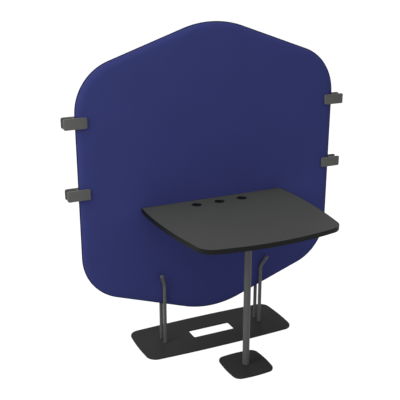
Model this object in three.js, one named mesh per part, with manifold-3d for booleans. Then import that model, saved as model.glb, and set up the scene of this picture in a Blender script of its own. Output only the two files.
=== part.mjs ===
// Desk with privacy screen.
// A padded screen with a hexagonal outline stands on a flat steel plate between two pairs of bent rods.
// A small tapered desk is fixed to the screen's front and stands on one leg with a foot plate of its own.
// Four H-shaped clips on the screen's upright edges take the edge of the next screen.
// Millimetres. +X runs along the screen, -Y points to the person at the desk, +Z is up.

import * as THREE from "three";
import { mergeVertices } from "three/addons/utils/BufferGeometryUtils.js";
import Module from "manifold-3d";

const wasm = await Module();
wasm.setup();

const { degToRad } = THREE.MathUtils;

// Fits shared by all pieces
const seatGap = 0.3;
const cutOverrun = 3;
const weldDistance = 0.0001;

// Screen outline and padding
const screenWidth = 1340;
const screenHeight = 1429;
const screenThickness = 30;
const screenMidHeight = 866;
const screenSlope = degToRad(19.2);
const screenSideRadius = 242;
const screenPeakRadius = 467;
const padRollWidth = 20;
const padSeamDraw = 1.6;
const padSeamWidth = 2;
const padCrownWidth = 160;
const padCrownDrop = 0.8;
const coreThickness = 12;
const coreInset = 12;

// Base plate under the screen
const plateLength = 816;
const plateWidth = 324;
const plateThickness = 8;
const plateCornerRadius = 42;
const plateEndBow = 9;
const plateSideBow = 11;
const plateSlotLength = 230;
const plateSlotWidth = 79;
const plateSlotRadius = 6;
const glideHeight = 2.7;
const glideRadius = 16;
const glideEndInset = 70;
const glideSideInset = 50;

// Rods that hold the screen
const rodDiameter = 18;
const rodSpacing = 540;
const rodBendRadius = 50;
const rodFlareAngle = degToRad(30);
const rodFlareTurn = degToRad(48);
const rodTipLength = 60;
const rodTipBevel = 2;
const rodBoltEdge = 35;
const rodBoltPitch = 50;
const rodBoltCover = 12;
const rodBoltDiameter = 6;
const rodBoltHeadDiameter = 10.4;
const rodBoltHeadHeight = 3.2;
const rodCounterbore = 4;
const rodBlindCover = 4;
const sleeveDiameter = 12;
const rodScrewDiameter = 8;
const rodScrewHeadDiameter = 15;
const rodScrewHeadHeight = 4;
const rodScrewBite = 20;

// Desk top
const deskHeight = 740;
const topBackWidth = 753;
const topFrontWidth = 664;
const topSideDepth = 596;
const topFrontBulge = 42.5;
const topSideBow = 24;
const topFrontRadius = 66;
const topBackRadius = 4;
const topThickness = 21;
const surfaceThickness = 1.5;
const backingThickness = 1.2;
const edgeBandThickness = 2;

// Cable grommets
const grommetPitch = 121;
const grommetSetback = 65;
const grommetFlangeRadius = 25;
const grommetFlangeHeight = 2;
const grommetFlangeBevel = 0.8;
const grommetCapRadius = 21;
const grommetCapThickness = 3;
const grommetLedgeWidth = 2.8;
const grommetWall = 1.6;
const grommetNeckDepth = 4;
const grommetTaperDepth = 4;
const grommetBarbReach = 1.2;
const grommetBarbHeight = 3.5;
const grommetLugSlotWidth = 3;
const grommetLugSlotHeight = 14;
const capSkirtDepth = 6;
const capSkirtWall = 1.5;
const capRimWidth = 3;
const capDishDepth = 0.7;
const capNotchWidth = 12;
const capNotchDepth = 13;

// Desk leg and its foot
const legSetback = 358;
const legDiameter = 33;
const legWall = 2;
const legFlangeRadius = 45;
const legFlangeThickness = 4;
const legSpigotLength = 30;
const legPlugLength = 30;
const legScrewCircle = 33;
const legScrewCount = 3;
const footLength = 217;
const footWidth = 217;
const footThickness = 8;
const footCornerRadius = 26;
const footBow = 8.5;
const footGlideInset = 42;
const legBoltDiameter = 10;
const legBoltHeadDiameter = 19;
const legBoltHeadHeight = 5;
const legBoltBite = 22;

// Angle brackets between the desk top and the screen
const bracketSpacing = 520;
const bracketWidth = 60;
const bracketDepth = 55;
const bracketDrop = 45;
const bracketThickness = 3;
const bracketBendRadius = 6;
const bracketScrewPitch = 36;
const bracketScrewReach = 36;
const bracketScrewDrop = 28;

// Wood screws in the brackets and the leg flange
const woodScrewDiameter = 5;
const woodScrewHeadDiameter = 9;
const woodScrewHeadHeight = 2.6;
const woodScrewPoint = 3;
const boardTipCover = 4;
const coreTipCover = 2;

// Clips that link the next screen
const clipLength = 110;
const clipHeight = 50;
const clipJawThickness = 10;
const clipWebThickness = 4;
const clipNoseRadius = 7;
const clipHeelRadius = 2.5;
const clipRootRadius = 2;
const clipCornerRadius = 10;
const clipEdgeBevel = 1.2;
const clipUpperRise = 305.5;
const clipLowerRise = -22;

// Facets
const sideCornerSteps = 8;
const peakSteps = 8;
const padRollSteps = 5;
const padCrownSteps = 3;
const plateCornerSteps = 7;
const plateBowSteps = 10;
const smallCornerSteps = 2;
const topFrontSteps = 16;
const topSideSteps = 12;
const topCornerSteps = 8;
const rodSides = 16;
const rodBendSteps = 4;
const screwSides = 8;
const sleeveSides = 12;
const legSides = 28;
const grommetSides = 24;
const glideSides = 16;
const clipNoseSteps = 3;
const clipCornerSteps = 4;

// Places worked out from the sizes
const faceDepth = screenThickness / 2;
const plateBottom = glideHeight + seatGap;
const plateTop = plateBottom + plateThickness;
const footTop = plateBottom + footThickness;
const rodRadius = rodDiameter / 2;
const rodDepth = faceDepth + seatGap + rodRadius;
const rodBottom = plateTop + seatGap;
const peakRise = screenHeight / 2 + screenPeakRadius * (1 / Math.cos(screenSlope) - 1);
const screenEdgeAtRod = screenMidHeight - peakRise + (rodSpacing / 2) * Math.tan(screenSlope);
const rodBoltHeights = [screenEdgeAtRod + rodBoltEdge, screenEdgeAtRod + rodBoltEdge + rodBoltPitch];
const rodStraightTop = rodBoltHeights[1] + rodBoltCover;
const topUnderside = deskHeight - topThickness;
const boardTop = deskHeight - surfaceThickness - seatGap;
const boardBottom = topUnderside + backingThickness + seatGap;
const topBack = -(faceDepth + seatGap);
const grommetPlaces = [-grommetPitch, 0, grommetPitch];
const grommetDepth = topBack - grommetSetback;
const grommetNeckRadius = grommetCapRadius + seatGap + grommetWall;
const grommetHoleRadius = grommetNeckRadius + seatGap;
const grommetRebateRadius = grommetFlangeRadius + seatGap;
const grommetThroatRadius = grommetCapRadius + seatGap - grommetLedgeWidth;
const legDepth = topBack - legSetback;
const legRadius = legDiameter / 2;
const legInnerRadius = legRadius - legWall;
const legBottom = footTop + seatGap;
const legFlangeBottom = topUnderside - seatGap - legFlangeThickness;
const legTop = legFlangeBottom - seatGap;
const clipChannel = screenThickness + 2 * seatGap;
const clipCentre = screenWidth / 2 + seatGap + clipWebThickness / 2;
const sides = [-1, 1];
const sideNames = { [-1]: "left", 1: "right" };
const endNames = { [-1]: "front", 1: "back" };
const reachNames = { [-1]: "inner", 1: "outer" };
const boltNames = ["lower", "upper"];
const cornerOf = (side, end) => ({ side, end, name: `${endNames[end]}_${sideNames[side]}` });
const corners = sides.flatMap((side) => sides.map((end) => cornerOf(side, end)));

// Colours and finishes
const fabricBlue = { color: 0x2c3060, roughness: 0.95, metalness: 0 };
const boardBrown = { color: 0x8a6d4b, roughness: 0.8, metalness: 0 };
const steelDark = { color: 0x2f3030, roughness: 0.55, metalness: 0.3 };
const rodGrey = { color: 0x4a4b4c, roughness: 0.5, metalness: 0.3 };
const surfaceGrey = { color: 0x464846, roughness: 0.6, metalness: 0 };
const bandBlack = { color: 0x1d1f1f, roughness: 0.6, metalness: 0 };
const grommetBlack = { color: 0x101010, roughness: 0.5, metalness: 0 };
const clipGrey = { color: 0x545452, roughness: 0.6, metalness: 0 };
const rubberBlack = { color: 0x181818, roughness: 0.9, metalness: 0 };
const zincGrey = { color: 0x9a9da0, roughness: 0.4, metalness: 0.8 };

const part = new THREE.Group();

function addMesh(name, geometry, finish) {
  const mesh = new THREE.Mesh(geometry, new THREE.MeshStandardMaterial(finish));
  mesh.name = name;
  part.add(mesh);
  return mesh;
}

// Solids: closed surfaces whose shared points are one, so that they can be cut

function bareGeometry(geometry) {
  const bare = new THREE.BufferGeometry();
  bare.setAttribute("position", geometry.getAttribute("position"));
  if (geometry.index) bare.setIndex(geometry.index);
  return mergeVertices(bare, weldDistance);
}

function toSolid(geometry) {
  const merged = bareGeometry(geometry);
  const indices = merged.index.array;
  const kept = [];
  for (let i = 0; i < indices.length; i += 3) {
    const [a, b, c] = [indices[i], indices[i + 1], indices[i + 2]];
    if (a !== b && b !== c && c !== a) kept.push(a, b, c);
  }
  const vertProperties = new Float32Array(merged.getAttribute("position").array);
  return new wasm.Manifold(new wasm.Mesh({ numProp: 3, vertProperties, triVerts: new Uint32Array(kept) }));
}

function toGeometry(solid) {
  const mesh = solid.getMesh();
  const geometry = new THREE.BufferGeometry();
  geometry.setAttribute("position", new THREE.BufferAttribute(mesh.vertProperties, 3));
  geometry.setIndex(new THREE.BufferAttribute(mesh.triVerts, 1));
  return geometry;
}

function cut(geometry, tools) {
  let solid = toSolid(geometry);
  for (const tool of tools) solid = solid.subtract(toSolid(tool));
  return toGeometry(solid);
}

// Outlines: points of a closed plane curve, straight lines joined by arcs

function arcPoints(centre, radius, from, to, steps) {
  const points = [];
  for (let i = 0; i <= steps; i++) {
    const angle = from + ((to - from) * i) / steps;
    points.push(new THREE.Vector2(centre.x + radius * Math.cos(angle), centre.y + radius * Math.sin(angle)));
  }
  return points;
}

// Rounds one corner: the arc touches both sides, its centre on the line that halves the corner
function filletPoints(previous, corner, next, radius, steps) {
  const toPrevious = previous.clone().sub(corner).normalize();
  const toNext = next.clone().sub(corner).normalize();
  const half = toPrevious.angleTo(toNext) / 2;
  const bisector = toPrevious.clone().add(toNext).normalize();
  const centre = corner.clone().addScaledVector(bisector, radius / Math.sin(half));
  const start = corner.clone().addScaledVector(toPrevious, radius / Math.tan(half)).sub(centre).angle();
  const end = corner.clone().addScaledVector(toNext, radius / Math.tan(half)).sub(centre).angle();
  let turn = end - start;
  if (turn > Math.PI) turn -= 2 * Math.PI;
  if (turn < -Math.PI) turn += 2 * Math.PI;
  return arcPoints(centre, radius, start, start + turn, steps);
}

function roundedPolygon(corners) {
  return corners.flatMap((corner, i) => {
    const previous = corners[(i + corners.length - 1) % corners.length].point;
    const next = corners[(i + 1) % corners.length].point;
    return filletPoints(previous, corner.point, next, corner.radius, corner.steps);
  });
}

function roundedRectangle(length, width, radius, steps) {
  const signs = [[1, -1], [1, 1], [-1, 1], [-1, -1]];
  const point = ([x, y]) => new THREE.Vector2((x * length) / 2, (y * width) / 2);
  return roundedPolygon(signs.map((sign) => ({ point: point(sign), radius, steps })));
}

// Rounded rectangle with swelling sides: each stands out by its bow in the middle and, on a parabola,
// not at all at its corners
function bowedRectangle(length, width, radius, endBow, sideBow, steps) {
  const [halfLength, halfWidth] = [length / 2 - endBow, width / 2 - sideBow];
  const corners = roundedRectangle(2 * halfLength, 2 * halfWidth, radius, steps);
  const points = corners.flatMap((point, i) => {
    const next = corners[(i + 1) % corners.length];
    const count = (i + 1) % (steps + 1) === 0 ? plateBowSteps : 1;
    return Array.from({ length: count }, (_, k) => point.clone().lerp(next, k / count));
  });
  return points.map(({ x, y }) => {
    const swellX = 1 + (endBow / halfLength) * (1 - (y / halfWidth) ** 2);
    const swellY = 1 + (sideBow / halfWidth) * (1 - (x / halfLength) ** 2);
    return new THREE.Vector2(x * swellX, y * swellY);
  });
}

function circlePoints(x, y, radius, count) {
  return arcPoints(new THREE.Vector2(x, y), radius, 0, (2 * Math.PI * (count - 1)) / count, count - 1);
}

// Solids from outlines

function slab(points, holes, bottom, height) {
  const shape = new THREE.Shape(points);
  shape.holes = holes.map((hole) => new THREE.Path(hole));
  return new THREE.ExtrudeGeometry(shape, { depth: height, bevelEnabled: false }).translate(0, 0, bottom);
}

// Skins rings of equal count one to the next, and closes the first and the last with a fan to its middle
function loft(rings) {
  const count = rings[0].length;
  const positions = rings.flatMap((ring) => ring.flatMap((p) => [p.x, p.y, p.z]));
  const triangles = [];
  for (let r = 0; r + 1 < rings.length; r++) {
    for (let i = 0; i < count; i++) {
      const [a, b] = [r * count + i, r * count + ((i + 1) % count)];
      triangles.push(a, b, b + count, a, b + count, a + count);
    }
  }
  const middle = (ring) => ring.reduce((sum, p) => sum.add(p), new THREE.Vector3()).divideScalar(count);
  const last = (rings.length - 1) * count;
  for (const ring of [rings[0], rings[rings.length - 1]]) positions.push(...middle(ring).toArray());
  const [firstHub, lastHub] = [rings.length * count, rings.length * count + 1];
  for (let i = 0; i < count; i++) {
    const next = (i + 1) % count;
    triangles.push(firstHub, next, i, lastHub, last + i, last + next);
  }
  const geometry = new THREE.BufferGeometry();
  geometry.setAttribute("position", new THREE.Float32BufferAttribute(positions, 3));
  geometry.setIndex(triangles);
  return geometry;
}

// Turned solids: profile points are [radius, height] pairs, from the axis or round a closed loop
function turned(profile, count) {
  const points = profile.map(([r, z]) => new THREE.Vector2(r, z));
  return new THREE.LatheGeometry(points, count).rotateX(Math.PI / 2);
}

function closedTurned(profile, count) {
  return turned([...profile, profile[0]], count);
}

function rodBetween(radius, from, to, count) {
  return turned([[0, from], [radius, from], [radius, to], [0, to]], count);
}

function hollowRod(outer, inner, from, to, count) {
  return closedTurned([[inner, from], [outer, from], [outer, to], [inner, to]], count);
}

// A drill or bolt that lies along +Y, from one depth to another
function acrossY(geometry, x, z) {
  return geometry.rotateX(-Math.PI / 2).translate(x, 0, z);
}

// Fasteners, standing on their axis with the head's outer face at zero and the shank going up

function panScrew(length) {
  const head = woodScrewHeadDiameter / 2;
  const shank = woodScrewDiameter / 2;
  const shoulder = woodScrewHeadHeight + length - woodScrewPoint;
  const profile = [[0, 0], [shank, 0], [head, woodScrewHeadHeight / 2], [head, woodScrewHeadHeight]];
  profile.push([shank, woodScrewHeadHeight], [shank, shoulder], [0, shoulder + woodScrewPoint]);
  return turned(profile, screwSides);
}

function countersunkScrew(diameter, headDiameter, headHeight, length) {
  const profile = [[0, 0], [headDiameter / 2, 0], [diameter / 2, headHeight]];
  profile.push([diameter / 2, length], [0, length]);
  return turned(profile, screwSides);
}

function countersinkTool(diameter, headDiameter, headHeight, length) {
  const radius = diameter / 2 + seatGap;
  const mouth = headDiameter / 2 + seatGap;
  const profile = [[0, -cutOverrun], [mouth, -cutOverrun], [mouth, 0]];
  profile.push([radius, headHeight], [radius, length], [0, length]);
  return turned(profile, screwSides);
}

// Screen: one board in two pads that meet at the middle of the edge

function screenOutline(inset) {
  const side = screenWidth / 2 - inset;
  const peak = peakRise - inset / Math.cos(screenSlope);
  const shoulder = peak - side * Math.tan(screenSlope);
  const corner = (x, y, radius, steps) => ({ point: new THREE.Vector2(x, y), radius: radius - inset, steps });
  const sideCorner = (x, y) => corner(x, y, screenSideRadius, sideCornerSteps);
  const peakCorner = (y) => corner(0, y, screenPeakRadius, peakSteps);
  return roundedPolygon([
    sideCorner(side, -shoulder),
    sideCorner(side, shoulder),
    peakCorner(peak),
    sideCorner(-side, shoulder),
    sideCorner(-side, -shoulder),
    peakCorner(-peak),
  ]);
}

function screenRing(inset, depth) {
  return screenOutline(inset).map((p) => new THREE.Vector3(p.x, -depth, screenMidHeight + p.y));
}

// The pad's section from the seam over the rolled edge to the crowned face, as [inset, depth] pairs
function padSection() {
  const seam = seatGap / 2;
  const margin = faceDepth - padCrownDrop;
  const section = [[padSeamDraw, seam]];
  for (let i = 0; i <= padRollSteps; i++) {
    const angle = (Math.PI / 2) * (i / padRollSteps);
    const depth = padSeamWidth + (margin - padSeamWidth) * Math.sin(angle);
    section.push([padRollWidth * (1 - Math.cos(angle)), depth]);
  }
  for (let i = 1; i <= padCrownSteps; i++) {
    const share = i / padCrownSteps;
    const rise = padCrownDrop * Math.sin((Math.PI / 2) * share);
    section.push([padRollWidth + padCrownWidth * share, margin + rise]);
  }
  return section;
}

// The front pad; the back pad is the same one turned round
function padGeometry() {
  const pocket = coreInset - seatGap;
  const floor = coreThickness / 2 + seatGap;
  const section = [[pocket, floor], [pocket, seatGap / 2], ...padSection()];
  return loft(section.map(([inset, depth]) => screenRing(inset, depth)));
}

function sleeveHoles() {
  const radius = sleeveDiameter / 2 + seatGap;
  const reach = faceDepth + cutOverrun;
  const hole = (x, z) => acrossY(rodBetween(radius, -reach, reach, sleeveSides), x, z);
  return sides.flatMap((side) => rodBoltHeights.map((z) => hole((side * rodSpacing) / 2, z)));
}

// Two screws through each flange of each bracket, the outer one farther from the middle
const bracketScrews = sides.flatMap((side) =>
  sides.map((reach) => ({
    x: (side * (bracketSpacing + reach * bracketScrewPitch)) / 2,
    name: `${reachNames[reach]}_${sideNames[side]}`,
  })),
);

function bracketScrewHoles() {
  const radius = woodScrewDiameter / 2 + seatGap;
  const tip = coreThickness / 2 - coreTipCover + seatGap;
  const height = topUnderside - bracketScrewDrop;
  return bracketScrews.map(({ x }) =>
    acrossY(rodBetween(radius, -(faceDepth + cutOverrun), tip, screwSides), x, height),
  );
}

function addScreen() {
  const front = cut(padGeometry(), [...sleeveHoles(), ...bracketScrewHoles()]);
  const core = slab(screenOutline(coreInset), [], -coreThickness / 2, coreThickness);
  core.rotateX(Math.PI / 2).translate(0, 0, screenMidHeight);
  addMesh("screen_front_pad", front, fabricBlue);
  addMesh("screen_back_pad", cut(padGeometry().rotateZ(Math.PI), sleeveHoles()), fabricBlue);
  addMesh("screen_core", cut(core, [...sleeveHoles(), ...bracketScrewHoles()]), boardBrown);
}

// Base plate on glides

function addGlides(prefix, reachX, reachY, depth) {
  for (const { side, end, name } of corners) {
    const glide = rodBetween(glideRadius, 0, glideHeight, glideSides);
    const mesh = addMesh(`${prefix}_${name}`, glide, rubberBlack);
    mesh.position.set(side * reachX, depth + end * reachY, 0);
  }
}

function screwHolesUp(places, diameter, headDiameter, headHeight, thickness) {
  return places.map(([x, y]) =>
    countersinkTool(diameter, headDiameter, headHeight, thickness + cutOverrun).translate(x, y, plateBottom),
  );
}

const rodPlaces = corners.map(({ side, end }) => [(side * rodSpacing) / 2, end * rodDepth]);

function addBase() {
  const bows = [plateEndBow, plateSideBow];
  const outline = bowedRectangle(plateLength, plateWidth, plateCornerRadius, ...bows, plateCornerSteps);
  const slot = roundedRectangle(plateSlotLength, plateSlotWidth, plateSlotRadius, smallCornerSteps);
  const plate = slab(outline, [slot], plateBottom, plateThickness);
  const screw = [rodScrewDiameter, rodScrewHeadDiameter, rodScrewHeadHeight];
  const holes = screwHolesUp(rodPlaces, ...screw, plateThickness);
  addMesh("base_plate", cut(plate, holes), steelDark);
  addGlides("base_glide", plateLength / 2 - glideEndInset, plateWidth / 2 - glideSideInset, 0);
}

// Rods: straight up from the plate, then flared outwards and away from the screen

function rodStations() {
  const reach = rodBendRadius * (1 - Math.cos(rodFlareAngle));
  const bendTop = rodStraightTop + rodBendRadius * Math.sin(rodFlareAngle);
  const [sine, cosine] = [Math.sin(rodFlareAngle), Math.cos(rodFlareAngle)];
  const along = (length) => [reach + length * sine, bendTop + length * cosine];
  const stations = [{ at: [0, rodBottom], tilt: 0, radius: rodRadius }];
  for (let i = 0; i <= rodBendSteps; i++) {
    const tilt = (rodFlareAngle * i) / rodBendSteps;
    const at = [rodBendRadius * (1 - Math.cos(tilt)), rodStraightTop + rodBendRadius * Math.sin(tilt)];
    stations.push({ at, tilt, radius: rodRadius });
  }
  stations.push({ at: along(rodTipLength - rodTipBevel), tilt: rodFlareAngle, radius: rodRadius });
  stations.push({ at: along(rodTipLength), tilt: rodFlareAngle, radius: rodRadius - rodTipBevel });
  return stations;
}

// A ring of the rod, square to its path in the plane that turns by the flare about the upright line
function rodRing({ at, tilt, radius }) {
  return circlePoints(0, 0, radius, rodSides).map((p) => {
    const away = at[0] + p.x * Math.cos(tilt);
    const height = at[1] - p.x * Math.sin(tilt);
    const ring = new THREE.Vector3(away, p.y, height);
    return ring.applyAxisAngle(new THREE.Vector3(0, 0, 1), rodFlareTurn);
  });
}

// The right-hand back rod; the others are its mirror images
function rodSolid(isBack) {
  const near = -(rodRadius + cutOverrun);
  const far = isBack ? rodRadius + cutOverrun : rodRadius - rodBlindCover;
  const boltRadius = rodBoltDiameter / 2 + seatGap;
  const headRadius = rodBoltHeadDiameter / 2 + seatGap;
  const tools = rodBoltHeights.map((z) => acrossY(rodBetween(boltRadius, near, far, screwSides), 0, z));
  if (isBack) {
    const seat = rodRadius - rodCounterbore;
    const bore = (z) => acrossY(rodBetween(headRadius, seat, rodRadius + cutOverrun, sleeveSides), 0, z);
    tools.push(...rodBoltHeights.map(bore));
  }
  const tapped = rodScrewDiameter / 2 + seatGap;
  tools.push(rodBetween(tapped, rodBottom - cutOverrun, rodBottom + rodScrewBite, screwSides));
  return cut(loft(rodStations().map(rodRing)), tools);
}

// Mirrors a closed geometry in X or Y and turns its triangles the right way round again
function mirrored(geometry, x, y) {
  geometry.scale(x, y, 1);
  if (x * y < 0) {
    const indices = geometry.index.array;
    for (let i = 0; i < indices.length; i += 3) {
      [indices[i], indices[i + 1]] = [indices[i + 1], indices[i]];
    }
  }
  return geometry;
}

function addRods() {
  const screwLength = plateThickness + rodScrewBite;
  for (const { side, end, name } of corners) {
    const rod = addMesh(`support_rod_${name}`, mirrored(rodSolid(end > 0), side, end), rodGrey);
    rod.position.set((side * rodSpacing) / 2, end * rodDepth, 0);
    const solid = countersunkScrew(rodScrewDiameter, rodScrewHeadDiameter, rodScrewHeadHeight, screwLength);
    const screw = addMesh(`rod_foot_screw_${name}`, solid, zincGrey);
    screw.position.set(rod.position.x, rod.position.y, plateBottom);
  }
}

// Two bolts clamp each pair of rods to the screen, each through a sleeve that bears its pull
function addClampBolts() {
  const headSeat = rodDepth + rodRadius - rodCounterbore + seatGap;
  const tip = -(rodDepth + rodRadius - rodBlindCover - seatGap);
  const shank = rodBoltDiameter / 2;
  const head = rodBoltHeadDiameter / 2;
  const headTop = headSeat + rodBoltHeadHeight;
  const profile = [[0, tip], [shank, tip], [shank, headSeat]];
  profile.push([head, headSeat], [head, headTop], [0, headTop]);
  for (const side of sides) {
    rodBoltHeights.forEach((z, i) => {
      const x = (side * rodSpacing) / 2;
      const name = `${boltNames[i]}_${sideNames[side]}`;
      const sleeve = hollowRod(sleeveDiameter / 2, shank + seatGap, -faceDepth, faceDepth, sleeveSides);
      addMesh(`clamp_bolt_${name}`, acrossY(turned(profile, screwSides), x, z), zincGrey);
      addMesh(`spacer_sleeve_${name}`, acrossY(sleeve, x, z), zincGrey);
    });
  }
}

// Desk top: board with a top sheet, a backing sheet and an edge band

// The sides swell outwards on a parabola: by the whole bow at half the depth, and not at the back and front
function swollen(point) {
  const share = -point.y / (topSideDepth + topFrontBulge);
  const meanWidth = (topBackWidth + topFrontWidth) / 2;
  const swell = 1 + ((2 * topSideBow) / meanWidth) * 4 * share * (1 - share);
  return new THREE.Vector2(point.x * swell, point.y);
}

// The right half of the top's outline in plan, from the back corner to the middle of the front
function topHalfOutline(inset) {
  const back = new THREE.Vector2(topBackWidth / 2, 0);
  const front = new THREE.Vector2(topFrontWidth / 2, -topSideDepth);
  const along = front.clone().sub(back).normalize();
  const inward = new THREE.Vector2(along.y, -along.x);
  const bulgeRadius = (front.x ** 2 + topFrontBulge ** 2) / (2 * topFrontBulge);
  const bulgeCentre = new THREE.Vector2(0, bulgeRadius - topSideDepth - topFrontBulge);
  // The corner's centre is a corner radius inward from the side and from the bulge's circle
  const start = back.clone().addScaledVector(inward, topFrontRadius).sub(bulgeCentre);
  const middle = -start.dot(along);
  const spread = Math.sqrt(middle ** 2 - start.lengthSq() + (bulgeRadius - topFrontRadius) ** 2);
  const centre = start.clone().addScaledVector(along, middle + spread).add(bulgeCentre);
  const leaving = inward.clone().negate().angle() - 2 * Math.PI;
  const meeting = centre.clone().sub(bulgeCentre).angle() - 2 * Math.PI;
  const side = back.clone().addScaledVector(inward, inset);
  const backCorner = side.clone().addScaledVector(along, (-inset - side.y) / along.y);
  const behind = new THREE.Vector2(0, -inset);
  const ahead = centre.clone().addScaledVector(inward, inset - topFrontRadius);
  const fillet = filletPoints(behind, backCorner, ahead, topBackRadius, smallCornerSteps);
  const corner = arcPoints(centre, topFrontRadius - inset, leaving, meeting, topCornerSteps);
  const bulge = arcPoints(bulgeCentre, bulgeRadius - inset, meeting, -Math.PI / 2, topFrontSteps / 2);
  const between = (_, i) => fillet.at(-1).clone().lerp(corner[0], (i + 1) / topSideSteps);
  const sidePoints = Array.from({ length: topSideSteps - 1 }, between);
  return [...fillet, ...sidePoints, ...corner, ...bulge.slice(1)].map(swollen);
}

function topOutline(inset) {
  const half = topHalfOutline(inset);
  const other = half.slice(0, -1).map((p) => new THREE.Vector2(-p.x, p.y));
  return [...half.reverse(), ...other].map((p) => new THREE.Vector2(p.x, p.y + topBack));
}

function grommetHoles(radius) {
  return grommetPlaces.map((x) => circlePoints(x, grommetDepth, radius, grommetSides));
}

// Rebates in the board that take the grommets' flanges, so that these lie level with the top sheet
function flangeRebates() {
  const floor = deskHeight - grommetFlangeHeight - seatGap;
  return grommetPlaces.map((x) =>
    rodBetween(grommetRebateRadius, floor, deskHeight, grommetSides).translate(x, grommetDepth, 0),
  );
}

const flangeScrewPlaces = circlePoints(0, legDepth, legScrewCircle, legScrewCount).map((p) => [p.x, p.y]);

// Pilot holes for the wood screws, from below the top to just short of the board's upper face
function pilotHoles() {
  const radius = woodScrewDiameter / 2 + seatGap;
  const tip = boardTop - boardTipCover + seatGap;
  const bracketPlaces = bracketScrews.map(({ x }) => [x, topBack - bracketScrewReach]);
  const places = [...flangeScrewPlaces, ...bracketPlaces];
  const from = topUnderside - cutOverrun;
  return places.map(([x, y]) => rodBetween(radius, from, tip, screwSides).translate(x, y, 0));
}

function addDeskTop() {
  const inner = topOutline(edgeBandThickness + seatGap);
  const board = slab(inner, grommetHoles(grommetHoleRadius), boardBottom, boardTop - boardBottom);
  const backing = slab(inner, grommetHoles(grommetHoleRadius), topUnderside, backingThickness);
  const sheetBottom = deskHeight - surfaceThickness;
  const surface = slab(inner, grommetHoles(grommetRebateRadius), sheetBottom, surfaceThickness);
  addMesh("desktop_board", cut(board, [...pilotHoles(), ...flangeRebates()]), boardBrown);
  addMesh("desktop_backing_sheet", cut(backing, pilotHoles()), bandBlack);
  const band = slab(topOutline(0), [topOutline(edgeBandThickness)], topUnderside, topThickness);
  addMesh("desktop_surface_sheet", surface, surfaceGrey);
  addMesh("desktop_edge_band", band, bandBlack);
}

// Cable grommets, level with the top: a snapped-in liner and a cap that turns on the liner's ledge

function linerProfile() {
  const recess = grommetCapRadius + seatGap;
  const ledge = -grommetCapThickness - seatGap;
  const wall = grommetThroatRadius + grommetWall;
  const barbTop = -(topThickness + seatGap);
  const barb = grommetHoleRadius + grommetBarbReach;
  const bottom = barbTop - grommetBarbHeight;
  return [
    [grommetThroatRadius, bottom],
    [wall, bottom],
    [barb, barbTop - seatGap],
    [barb, barbTop],
    [wall, barbTop],
    [wall, -(grommetNeckDepth + grommetTaperDepth)],
    [grommetNeckRadius, -grommetNeckDepth],
    [grommetNeckRadius, -grommetFlangeHeight],
    [grommetFlangeRadius, -grommetFlangeHeight],
    [grommetFlangeRadius, -grommetFlangeBevel],
    [grommetFlangeRadius - grommetFlangeBevel, 0],
    [recess, 0],
    [recess, ledge],
    [grommetThroatRadius, ledge],
  ];
}

// Four slots part the liner's lower end into lugs that spring in when it is pushed through the top
function linerGeometry() {
  const bottom = -(topThickness + grommetBarbHeight);
  const across = 2 * (grommetHoleRadius + grommetBarbReach + cutOverrun);
  const height = 2 * grommetLugSlotHeight;
  const slot = new THREE.BoxGeometry(across, grommetLugSlotWidth, height).translate(0, 0, bottom);
  return cut(closedTurned(linerProfile(), grommetSides), [slot, slot.clone().rotateZ(Math.PI / 2)]);
}

function capProfile() {
  const bottom = -grommetCapThickness;
  const skirt = grommetThroatRadius - seatGap;
  const dish = grommetCapRadius - capRimWidth;
  return [
    [0, bottom],
    [skirt - capSkirtWall, bottom],
    [skirt - capSkirtWall, bottom - capSkirtDepth],
    [skirt, bottom - capSkirtDepth],
    [skirt, bottom],
    [grommetCapRadius, bottom],
    [grommetCapRadius, 0],
    [dish, 0],
    [dish - capDishDepth, -capDishDepth],
    [0, -capDishDepth],
  ];
}

// The notch lets a cable out at the cap's rim: straight sides and a round inner end
function capGeometry() {
  const height = capSkirtDepth + grommetCapThickness + 2 * cutOverrun;
  const bottom = -grommetCapThickness - capSkirtDepth - cutOverrun;
  const radius = capNotchWidth / 2;
  const inner = grommetCapRadius - capNotchDepth + radius;
  const outer = grommetCapRadius + cutOverrun;
  const points = arcPoints(new THREE.Vector2(0, inner), radius, Math.PI, 2 * Math.PI, plateCornerSteps);
  points.push(new THREE.Vector2(radius, outer), new THREE.Vector2(-radius, outer));
  return cut(turned(capProfile(), grommetSides), [slab(points, [], bottom, height)]);
}

function addGrommets() {
  const names = ["left", "middle", "right"];
  grommetPlaces.forEach((x, i) => {
    const liner = addMesh(`grommet_liner_${names[i]}`, linerGeometry(), grommetBlack);
    const cap = addMesh(`grommet_cap_${names[i]}`, capGeometry(), grommetBlack);
    for (const mesh of [liner, cap]) mesh.position.set(x, grommetDepth, deskHeight);
  });
}

// Leg: a tube with a plug at its foot and a flange with a spigot at its head

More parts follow.
